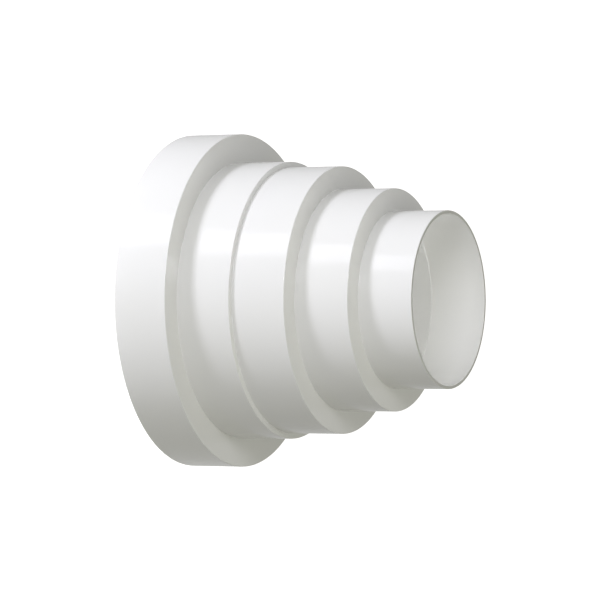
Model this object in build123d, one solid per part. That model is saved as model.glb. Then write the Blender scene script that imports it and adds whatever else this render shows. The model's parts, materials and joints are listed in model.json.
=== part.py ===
"""Stepped reducer for round ventilation ducts, moulded in one piece.

The body is a thin-walled tube of revolution about Z. It stands on its large rim at Z = 0 and narrows upward
in straight collars with a shoulder between each pair, one collar for each size of duct. Sizes are in millimetres.
"""
import math
import os

from build123d import *

# Outside diameters of the collars, from the large end up
large_collar_diameter = 150.0
second_collar_diameter = 124.2
third_collar_diameter = 119.2
fourth_collar_diameter = 98.8
small_collar_diameter = 78.6

# Lengths along the axis: the large collar to its outer edge, and each spigot from its root to its edge
large_collar_length = 25.2
second_spigot_length = 25.6
third_spigot_length = 25.6
fourth_spigot_length = 25.6
small_spigot_length = 25.6

# The widest shoulder sinks this far from its outer edge to the root of the second spigot
first_shoulder_dish = 1.2

# The moulded wall, the bevel on its free edges and the fill in its roots
wall = 1.5
edge_bevel = 0.3
root_fill = 0.15

# The largest share of a shoulder, or of a rim's thickness, that one of its two corners may take
corner_share = 0.45

# A bevel that turns a square corner with the wall's thickness kept is longer on its far side by this share of it
bevel_offset = 2 - math.sqrt(2)

collar_radii = [
    diameter / 2
    for diameter in (
        large_collar_diameter,
        second_collar_diameter,
        third_collar_diameter,
        fourth_collar_diameter,
        small_collar_diameter,
    )
]
spigot_lengths = (second_spigot_length, third_spigot_length, fourth_spigot_length, small_spigot_length)
shoulder_dishes = (first_shoulder_dish, 0.0, 0.0, 0.0)


def rim_corners(first_radius, second_radius, height):
    """The two corners of a free rim, each as a point of the section and the size of its bevel."""
    size = min(edge_bevel, corner_share * wall)
    return [(Vector(first_radius, height), size), (Vector(second_radius, height), size)]


def shoulder_corners(lower_radius, upper_radius, height, dish):
    """The corners of one shoulder: its two outside ones, and its two inside ones a wall's thickness away.

    Where the tube narrows, the free edge outside is crisp and the root of the next spigot is filled a little,
    which the inside follows at the wall's own thickness. The inside corner is filled by the dish as well, so that
    a pipe with a square end seats on the shoulder. Where the tube widens, the same corners change places.
    """
    narrows = 1 if lower_radius > upper_radius else -1
    largest = corner_share * abs(lower_radius - upper_radius)
    outside_sizes = [min(size, largest) for size in (edge_bevel, root_fill)][::narrows]
    inside_sizes = [min(root_fill + extra, largest) for extra in (dish, bevel_offset * wall)][::narrows]
    outside_points = [Vector(lower_radius, height), Vector(upper_radius, height - dish)]
    inside_points = [point - Vector(wall, narrows * wall) for point in outside_points]
    return list(zip(outside_points, outside_sizes)), list(zip(inside_points, inside_sizes))


def wall_corners():
    """The corners of the wall's section: up the outside, over the small rim, and down the inside."""
    outside = []
    inside = []
    height = large_collar_length
    for index, (dish, length) in enumerate(zip(shoulder_dishes, spigot_lengths)):
        outer, inner = shoulder_corners(collar_radii[index], collar_radii[index + 1], height, dish)
        outside += outer
        inside += inner
        height += length - dish
    small_rim = rim_corners(collar_radii[-1], collar_radii[-1] - wall, height)
    large_rim = rim_corners(collar_radii[0] - wall, collar_radii[0], 0.0)
    return outside + small_rim + inside[::-1] + large_rim


def bevelled(corners):
    """The section's outline, with each corner cut back by its size along both of its sides."""
    outline = []
    for index, (corner, size) in enumerate(corners):
        before = corners[index - 1][0]
        after = corners[(index + 1) % len(corners)][0]
        outline += [corner + (side - corner).normalized() * size for side in (before, after)]
    return outline


with BuildPart() as reducer:
    with BuildSketch(Plane.XZ):
        with BuildLine():
            Polyline(*bevelled(wall_corners()), close=True)
        make_face()
    revolve(axis=Axis.Z)

os.makedirs("parts", exist_ok=True)
export_step(reducer.part, "parts/reducer_body.step")
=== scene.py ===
"""A white moulded reducer for round ventilation ducts, on a pale studio table.

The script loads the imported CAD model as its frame, turns the reducer's wall with rounded edges around the
same axis, dresses it in glossy white plastic, and sets up the table, the lamps and the camera.
Lengths in the script are in metres unless a name ends in _mm.
"""
import json
import logging
import math
from dataclasses import dataclass
from enum import IntEnum
from typing import Any, Optional, Sequence

import bmesh
import bpy
from mathutils import Matrix, Vector


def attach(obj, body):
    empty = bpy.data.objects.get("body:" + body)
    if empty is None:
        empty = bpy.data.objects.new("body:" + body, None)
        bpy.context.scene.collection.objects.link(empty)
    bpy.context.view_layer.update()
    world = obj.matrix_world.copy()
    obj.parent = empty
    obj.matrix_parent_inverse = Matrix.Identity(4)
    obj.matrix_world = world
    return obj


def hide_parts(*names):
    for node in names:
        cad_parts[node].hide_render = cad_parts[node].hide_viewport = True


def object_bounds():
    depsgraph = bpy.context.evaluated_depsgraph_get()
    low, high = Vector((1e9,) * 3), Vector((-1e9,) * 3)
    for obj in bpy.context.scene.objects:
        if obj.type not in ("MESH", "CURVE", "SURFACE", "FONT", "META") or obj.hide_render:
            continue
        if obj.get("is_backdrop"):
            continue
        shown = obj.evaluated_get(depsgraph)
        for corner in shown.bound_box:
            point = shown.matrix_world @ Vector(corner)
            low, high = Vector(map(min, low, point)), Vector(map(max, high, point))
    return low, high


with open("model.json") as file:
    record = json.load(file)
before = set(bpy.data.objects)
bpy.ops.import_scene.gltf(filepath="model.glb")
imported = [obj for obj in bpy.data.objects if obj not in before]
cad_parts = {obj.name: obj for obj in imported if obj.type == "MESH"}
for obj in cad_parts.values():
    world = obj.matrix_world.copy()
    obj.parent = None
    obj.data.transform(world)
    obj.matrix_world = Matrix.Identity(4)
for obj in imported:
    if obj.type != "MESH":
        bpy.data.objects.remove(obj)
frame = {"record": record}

MM = 0.001
# The finer layers of noise in a finish's patches, and the strength of each beside the one before it
PATCH_LAYERS = 2.0
PATCH_LAYER_SHARE = 0.5
log = logging.getLogger("duct_reducer")


class Surface(IntEnum):
    """The surfaces of the reducer that differ in finish and in painted shade, numbered as the piece's
    materials are.
    """

    WALL = 0
    RIM = 1


def srgb(code: str) -> tuple[float, float, float, float]:
    """Turn an sRGB hex colour into the linear colour that shaders and lamps take.

    Args:
        code: the colour as six hex digits, with or without a leading #.

    Returns:
        Red, green and blue in linear light, and an alpha of 1.
    """
    digits = code.lstrip("#")
    shares = [int(digits[place:place + 2], 16) / 255 for place in (0, 2, 4)]
    linear = [s / 12.92 if s <= 0.04045 else ((s + 0.055) / 1.055) ** 2.4 for s in shares]
    return (*linear, 1.0)


def add_node(
    tree: bpy.types.NodeTree,
    kind: str,
    inputs: Optional[dict[Any, Any]] = None,
    **settings: Any,
) -> bpy.types.Node:
    """Add one node with its settings, its input values and its links.

    Args:
        tree: the material's or world's node tree.
        kind: the node's type.
        inputs: for an input's name or number, a value to set or the output socket to link to it.
        **settings: the node's own properties by name.

    Returns:
        The new node.
    """
    node = tree.nodes.new(kind)
    for name, value in settings.items():
        setattr(node, name, value)
    for key, value in (inputs or {}).items():
        if isinstance(value, bpy.types.NodeSocket):
            tree.links.new(value, node.inputs[key])
        else:
            node.inputs[key].default_value = value
    return node


def empty_tree(owner: Any) -> bpy.types.NodeTree:
    """Give a material or world an empty node tree.

    Args:
        owner: the material or world.

    Returns:
        Its node tree, with no nodes.
    """
    owner.use_nodes = True
    owner.node_tree.nodes.clear()
    return owner.node_tree


@dataclass(frozen=True)
class MouldedPlastic:
    """White ABS, injection moulded in a polished steel mould.

    The eye sees an even, faintly warm white with a clear gloss. The gloss is a little uneven: the wall has
    sunk by microns as it cooled, which bends reflections, and handling has dulled the polish in patches.
    Polished and dulled are the shader's roughness at the two ends of those patches.
    """

    name: str = "white_abs_moulded_glossy"
    pale: str = "#F3F3F1"
    deep: str = "#F1F1ED"
    tint_patch_mm: float = 45.0
    polish_patch_mm: float = 14.0
    polished: float = 0.13
    dulled: float = 0.18
    ripple_mm: float = 9.0
    ripple_height_mm: float = 0.004
    grain_mm: float = 0.9
    grain_height_mm: float = 0.0006
    ior: float = 1.53

    def make(self) -> bpy.types.Material:
        """Make the material.

        Returns:
            The finished material.
        """
        material = bpy.data.materials.new(self.name)
        tree = empty_tree(material)
        place = add_node(tree, "ShaderNodeTexCoord").outputs["Object"]
        tint = self.patches(tree, place, self.tint_patch_mm)
        colour = add_node(tree, "ShaderNodeMix", {"Factor": tint, "A": srgb(self.pale), "B": srgb(self.deep)},
                          data_type="RGBA")
        polish = self.patches(tree, place, self.polish_patch_mm)
        roughness = add_node(tree, "ShaderNodeMapRange",
                             {"Value": polish, "To Min": self.polished, "To Max": self.dulled})
        ripple = add_node(tree, "ShaderNodeBump",
                          {"Height": self.patches(tree, place, self.ripple_mm),
                           "Distance": self.ripple_height_mm * MM, "Strength": 1.0})
        grain = add_node(tree, "ShaderNodeBump",
                         {"Height": self.patches(tree, place, self.grain_mm),
                          "Distance": self.grain_height_mm * MM, "Strength": 1.0,
                          "Normal": ripple.outputs["Normal"]})
        surface = add_node(tree, "ShaderNodeBsdfPrincipled",
                           {"Base Color": colour.outputs["Result"], "Roughness": roughness.outputs["Result"],
                            "Normal": grain.outputs["Normal"], "IOR": self.ior})
        add_node(tree, "ShaderNodeOutputMaterial", {"Surface": surface.outputs["BSDF"]})
        return material

    @staticmethod
    def patches(
        tree: bpy.types.NodeTree,
        place: bpy.types.NodeSocket,
        size_mm: float,
    ) -> bpy.types.NodeSocket:
        """Add soft uneven patches of one size.

        Args:
            tree: the material's node tree.
            place: the coordinates, in metres.
            size_mm: the width of a patch.

        Returns:
            The output that runs from 0 to 1 across the patches.
        """
        noise = add_node(tree, "ShaderNodeTexNoise",
                         {"Vector": place, "Scale": 1 / (size_mm * MM),
                          "Detail": PATCH_LAYERS, "Roughness": PATCH_LAYER_SHARE})
        return noise.outputs["Fac"]


@dataclass(frozen=True)
class Collar:
    """One straight collar of the tube: its outside radius, and the heights of its two ends."""

    radius: float
    root: float
    edge: float


@dataclass(frozen=True)
class SectionPoint:
    """A point of the wall's section, radius then height, with the outward direction there."""

    place: Vector
    outward: Vector


@dataclass
class ReducerBody:
    """The whole reducer: a thin wall turned about Z, in straight collars with shoulders between them."""

    collars: list[Collar]
    wall: float
    foot: float
    edge_round: float
    root_round: float
    name: str = "reducer_wall"
    node: str = "reducer_body"
    body: str = "root"
    slot: str = "white_plastic"
    turns: int = 256
    arc_steps: int = 5
    # An end face reaches this share of its edges' radius along the axis, just past the middle of the round
    rim_share: float = 0.3

    @classmethod
    def from_record(cls, record: dict, edge_round: float, root_round: float) -> "ReducerBody":
        """Take the collars, the wall and the foot from the record's mounts.

        A mount's length leaves out the rounded edge and root at the collar's ends, so they are added back.

        Args:
            record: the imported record.
            edge_round: the radius of a free edge.
            root_round: the radius in a root.

        Returns:
            The reducer with the CAD model's sizes.
        """
        mounts = {mount["name"]: mount for mount in record["mounts"]}
        names = ("large_collar", "second_spigot", "third_spigot", "fourth_spigot", "small_spigot")
        collars = []
        for name in names:
            half = mounts[name]["dims"]["length_mm"] * MM / 2
            middle = mounts[name]["pos_m"][2]
            collars.append(Collar(mounts[name]["dims"]["r_mm"] * MM, middle - half - root_round,
                                  middle + half + edge_round))
        wall = collars[-1].radius - mounts["small_bore"]["dims"]["r_mm"] * MM
        foot = mounts["large_rim"]["pos_m"][2]
        return cls(collars, wall, foot, edge_round, root_round)

    def corners(self) -> list[tuple[Vector, float]]:
        """List the section's corners: up the outside, over the small rim, and down the inside.

        The wall keeps its thickness round the root of a spigot, and the inside corner of a shoulder is
        filled by the shoulder's dish as well.

        Returns:
            Each corner as radius and height, with the radius of its round.
        """
        inward = Vector((-self.wall, -self.wall))
        outside = []
        inside = []
        for lower, upper in zip(self.collars, self.collars[1:]):
            edge = Vector((lower.radius, lower.edge))
            root = Vector((upper.radius, upper.root))
            dish = lower.edge - upper.root
            outside += [(edge, self.edge_round), (root, self.root_round)]
            inside += [(edge + inward, self.root_round + dish), (root + inward, self.root_round + self.wall)]
        small = self.collars[-1]
        large = self.collars[0]
        small_rim = self.rim_corners((small.radius, small.radius - self.wall), small.edge)
        large_rim = self.rim_corners((large.radius - self.wall, large.radius), self.foot)
        return outside + small_rim + inside[::-1] + large_rim

    def rim_corners(self, radii: Sequence[float], height: float) -> list[tuple[Vector, float]]:
        """List the corners of one end face at these radii, each with the radius of its round."""
        return [(Vector((radius, height)), self.edge_round) for radius in radii]

    def section(self) -> list[SectionPoint]:
        """Round every corner with an arc that meets both of its sides smoothly.

        Returns:
            The points of the closed section, counter-clockwise.
        """
        corners = self.corners()
        points = []
        for index, (corner, radius) in enumerate(corners):
            before = corners[index - 1][0]
            after = corners[(index + 1) % len(corners)][0]
            heading = (corner - before).normalized()
            turn = heading.angle_signed((after - corner).normalized())
            # angle_signed is clockwise, so a corner that sticks out has a negative turn
            side = -1 if turn > 0 else 1
            start = corner - heading * radius * math.tan(abs(turn) / 2)
            outward = Vector((heading.y, -heading.x))
            centre = start - outward * radius * side
            for step in range(self.arc_steps + 1):
                swung = outward.copy()
                swung.rotate(Matrix.Rotation(-turn * step / self.arc_steps, 2))
                points.append(SectionPoint(centre + swung * radius * side, swung))
        return points

    def on_rim(self, point: SectionPoint) -> bool:
        """Tell the points of the two end faces, up to the middle of their rounded edges, from the others.

        Args:
            point: a point of the section.

        Returns:
            True on an end face.
        """
        ends = (self.foot, self.collars[-1].edge)
        return min(abs(point.place.y - end) for end in ends) < self.rim_share * self.edge_round

    def build(self) -> bpy.types.Object:
        """Turn the section about Z into one closed wall with true normals.

        Returns:
            The piece, in place and riding on its CAD body.
        """
        section = self.section()
        mesh = bpy.data.meshes.new(self.name)
        work = bmesh.new()
        normals = []
        rings = []
        for turn in range(self.turns):
            spin = Matrix.Rotation(math.tau * turn / self.turns, 3, "Z")
            ring = []
            for point in section:
                ring.append(work.verts.new(spin @ Vector((point.place.x, 0.0, point.place.y))))
                normals.append(spin @ Vector((point.outward.x, 0.0, point.outward.y)))
            rings.append(ring)
        rims = [self.on_rim(point) for point in section]
        for turn, ring in enumerate(rings):
            following = rings[(turn + 1) % self.turns]
            for index in range(len(section)):
                onward = (index + 1) % len(section)
                face = work.faces.new((ring[index], following[index], following[onward], ring[onward]))
                face.smooth = True
                face.material_index = Surface.RIM if rims[index] and rims[onward] else Surface.WALL
        work.to_mesh(mesh)
        work.free()
        mesh.normals_split_custom_set_from_vertices(normals)
        piece = bpy.data.objects.new(self.name, mesh)
        bpy.context.scene.collection.objects.link(piece)
        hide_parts(self.node)
        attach(piece, self.body)
        return piece

    def dress(self, piece: bpy.types.Object, walls: MouldedPlastic, rims: MouldedPlastic) -> None:
        """Give the piece its finishes.

        Args:
            piece: the built piece.
            walls: the plastic of the collars and shoulders.
            rims: the plastic of the two end faces, painted greyer as painted shade.
        """
        finishes = {Surface.WALL: walls, Surface.RIM: rims}
        for surface in Surface:
            piece.data.materials.append(finishes[surface].make())


@dataclass(frozen=True)
class Softbox:
    """A square soft lamp that faces the object.

    Its level is how bright it alone makes a white card that faces it, where 1 is white. A lamp without
    glare is cross-polarised, as studio lamps are for glossy goods: it lights the plastic but doesn't
    mirror in it.
    """

    name: str
    towards: tuple[float, float, float]
    width: float
    level: float
    colour: str
    glare: bool = True
    distance: float = 1.2

    def build(self, target: Vector) -> bpy.types.Object:
        """Hang the lamp.

        Args:
            target: the point that it faces.

        Returns:
            The lamp.
        """
        lamp = bpy.data.lights.new(self.name, "AREA")
        lamp.shape = "SQUARE"
        lamp.size = self.width
        lamp.energy = self.level * (math.pi * self.distance) ** 2
        lamp.color = srgb(self.colour)[:3]
        lit = bpy.data.objects.new(self.name, lamp)
        direction = Vector(self.towards).normalized()
        lit.location = target + direction * self.distance
        lit.rotation_euler = direction.to_track_quat("Z", "Y").to_euler()
        lit.visible_camera = False
        lit.visible_glossy = self.glare
        bpy.context.scene.collection.objects.link(lit)
        return lit


def seen_straight(tree: bpy.types.NodeTree) -> bpy.types.NodeSocket:
    """Tell the rays that come straight from the camera or through glass from those that light other surfaces.

    Args:
        tree: the node tree to add to.

    Returns:
        An output that is 1 for the former and 0 for the latter.
    """
    path = add_node(tree, "ShaderNodeLightPath")
    return add_node(tree, "ShaderNodeMath",
                    {0: path.outputs["Is Camera Ray"], 1: path.outputs["Is Transmission Ray"]},
                    operation="MAXIMUM").outputs[0]


@dataclass(frozen=True)
class StudioTable:
    """A white translucent shooting table, which shows white around the object.

    Lamps below it light the object through its top, and reflections look through the top at them and at
    the room. Its glow is the share of white that it shows the camera, beside the light that falls on it.
    The glow is strong enough to hide the object's shadow on the top.
    """

    name: str = "studio_table"
    width: float = 8.0
    colour: str = "#E8E8E6"
    glow: float = 0.89

    def build(self) -> bpy.types.Object:
        """Make the table's top.

        Returns:
            The table, marked as stage.
        """
        half = self.width / 2
        mesh = bpy.data.meshes.new(self.name)
        corners = [(-half, -half, 0.0), (half, -half, 0.0), (half, half, 0.0), (-half, half, 0.0)]
        mesh.from_pydata(corners, [], [(0, 1, 2, 3)])
        table = bpy.data.objects.new(self.name, mesh)
        # Translucent: the lamps below shine through the top, and reflections see them through it
        table.visible_shadow = False
        table.visible_glossy = False
        bpy.context.scene.collection.objects.link(table)
        mesh.materials.append(self.finish())
        table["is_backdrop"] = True
        return table

    def finish(self) -> bpy.types.Material:
        """Make the table's matt white top, which also glows where it is seen directly.

        Returns:
            The material.
        """
        material = bpy.data.materials.new("white_acrylic_matt")
        tree = empty_tree(material)
        matt = add_node(tree, "ShaderNodeBsdfDiffuse", {"Color": srgb(self.colour)})
        glow = add_node(tree, "ShaderNodeEmission", {"Strength": self.glow})
        dark = add_node(tree, "ShaderNodeEmission", {"Strength": 0.0})
        shown = add_node(tree, "ShaderNodeMixShader",
                         {0: seen_straight(tree), 1: dark.outputs[0], 2: glow.outputs[0]})
        both = add_node(tree, "ShaderNodeAddShader", {0: matt.outputs[0], 1: shown.outputs[0]})
        add_node(tree, "ShaderNodeOutputMaterial", {"Surface": both.outputs[0]})
        return material


@dataclass(frozen=True)
class StudioRoom:
    """The pale room around the table, which gives an even fill light.

    It is white where it is seen. Reflections show it mixed with white by the share named mirrored.
    """

    fill: float = 0.215
    fill_colour: str = "#FFFFFA"
    mirrored: float = 0.40

    def build(self) -> bpy.types.World:
        """Make the world.

        Returns:
            The world, set on the scene.
        """
        world = bpy.data.worlds.new("studio_room")
        tree = empty_tree(world)
        lighting = add_node(tree, "ShaderNodeBackground",
                            {"Color": srgb(self.fill_colour), "Strength": self.fill})
        white = add_node(tree, "ShaderNodeBackground", {"Color": srgb("#FFFFFF"), "Strength": 1.0})
        path = add_node(tree, "ShaderNodeLightPath")
        reflected = add_node(tree, "ShaderNodeMath", {0: path.outputs["Is Glossy Ray"], 1: self.mirrored},
                             operation="MULTIPLY")
        shown = add_node(tree, "ShaderNodeMath", {0: seen_straight(tree), 1: reflected.outputs[0]},
                         operation="MAXIMUM")
        mixed = add_node(tree, "ShaderNodeMixShader",
                         {0: shown.outputs[0], 1: lighting.outputs[0], 2: white.outputs[0]})
        add_node(tree, "ShaderNodeOutputWorld", {"Surface": mixed.outputs[0]})
        bpy.context.scene.world = world
        return world


@dataclass(frozen=True)
class PhotoCamera:
    """A long lens a little above the object, rolled so that the reducer's axis runs across the picture."""

    focal_length_mm: float = 224.55
    sensor_mm: float = 36.0
    distance: float = 1.7
    elevation_deg: float = 26.95
    roll_deg: float = 89.78
    target: tuple[float, float, float] = (-0.0001, 0.02134, 0.04197)

    def build(self) -> bpy.types.Object:
        """Set up the camera and make it the scene's own.

        Returns:
            The camera.
        """
        lens = bpy.data.cameras.new("photo_camera")
        lens.lens = self.focal_length_mm
        lens.sensor_width = self.sensor_mm
        camera = bpy.data.objects.new("photo_camera", lens)
        tilt = Matrix.Rotation(math.radians(90 - self.elevation_deg), 4, "X")
        roll = Matrix.Rotation(math.radians(self.roll_deg), 4, "Z")
        back = Matrix.Translation((0.0, 0.0, self.distance))
        camera.matrix_world = Matrix.Translation(self.target) @ tilt @ roll @ back
        bpy.context.scene.collection.objects.link(camera)
        bpy.context.scene.camera = camera
        return camera


def main() -> None:
    """Build the reducer, its stage, its lamps and the camera."""
    logging.basicConfig(level=logging.INFO)
    cad_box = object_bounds()
    reducer = ReducerBody.from_record(frame["record"], edge_round=0.3 * MM, root_round=0.15 * MM)
    piece = reducer.build()
    # The end faces are painted greyer than the walls as painted shade, and they are duller, being cut after
    # moulding
    rim_plastic_painted_shade = MouldedPlastic("white_abs_trimmed_dull", "#D4D4CF", "#CECEC8", polished=0.5, dulled=0.6)
    reducer.dress(piece, MouldedPlastic(), rim_plastic_painted_shade)
    log.info("%s: %d faces", piece.name, len(piece.data.polygons))
    middle = (cad_box[0] + cad_box[1]) / 2
    for part in (StudioTable(), StudioRoom(), PhotoCamera()):
        log.info("%s", part.build().name)
    # The key, glint and under_table lamps shine up through the table. Glint makes the band on the collars
    lamps: Sequence[Softbox] = (
        Softbox("key", (-0.67, -0.64, -0.42), width=0.23, level=0.429, colour="#F4F4FF", glare=False),
        Softbox("glint", (-0.641, -0.577, -0.505), width=0.38, level=0.077, colour="#F4F4FF"),
        Softbox("front", (-0.40, -0.87, 0.30), width=0.35, level=0.330, colour="#F8F8FF"),
        Softbox("overhead", (-0.22, -0.40, 0.89), width=0.5, level=0.045, colour="#FFFFFB"),
        Softbox("side", (0.32, -0.18, 0.93), width=0.8, level=0.164, colour="#FFFFEC"),
        Softbox("under_table", (0.20, 0.40, -0.89), width=0.5, level=1.01, colour="#FCFCFF", glare=False),
    )
    for lamp in lamps:
        log.info("lamp %s", lamp.build(middle).name)
    bpy.context.scene.view_settings.view_transform = "Standard"


if __name__ == "__main__":
    main()
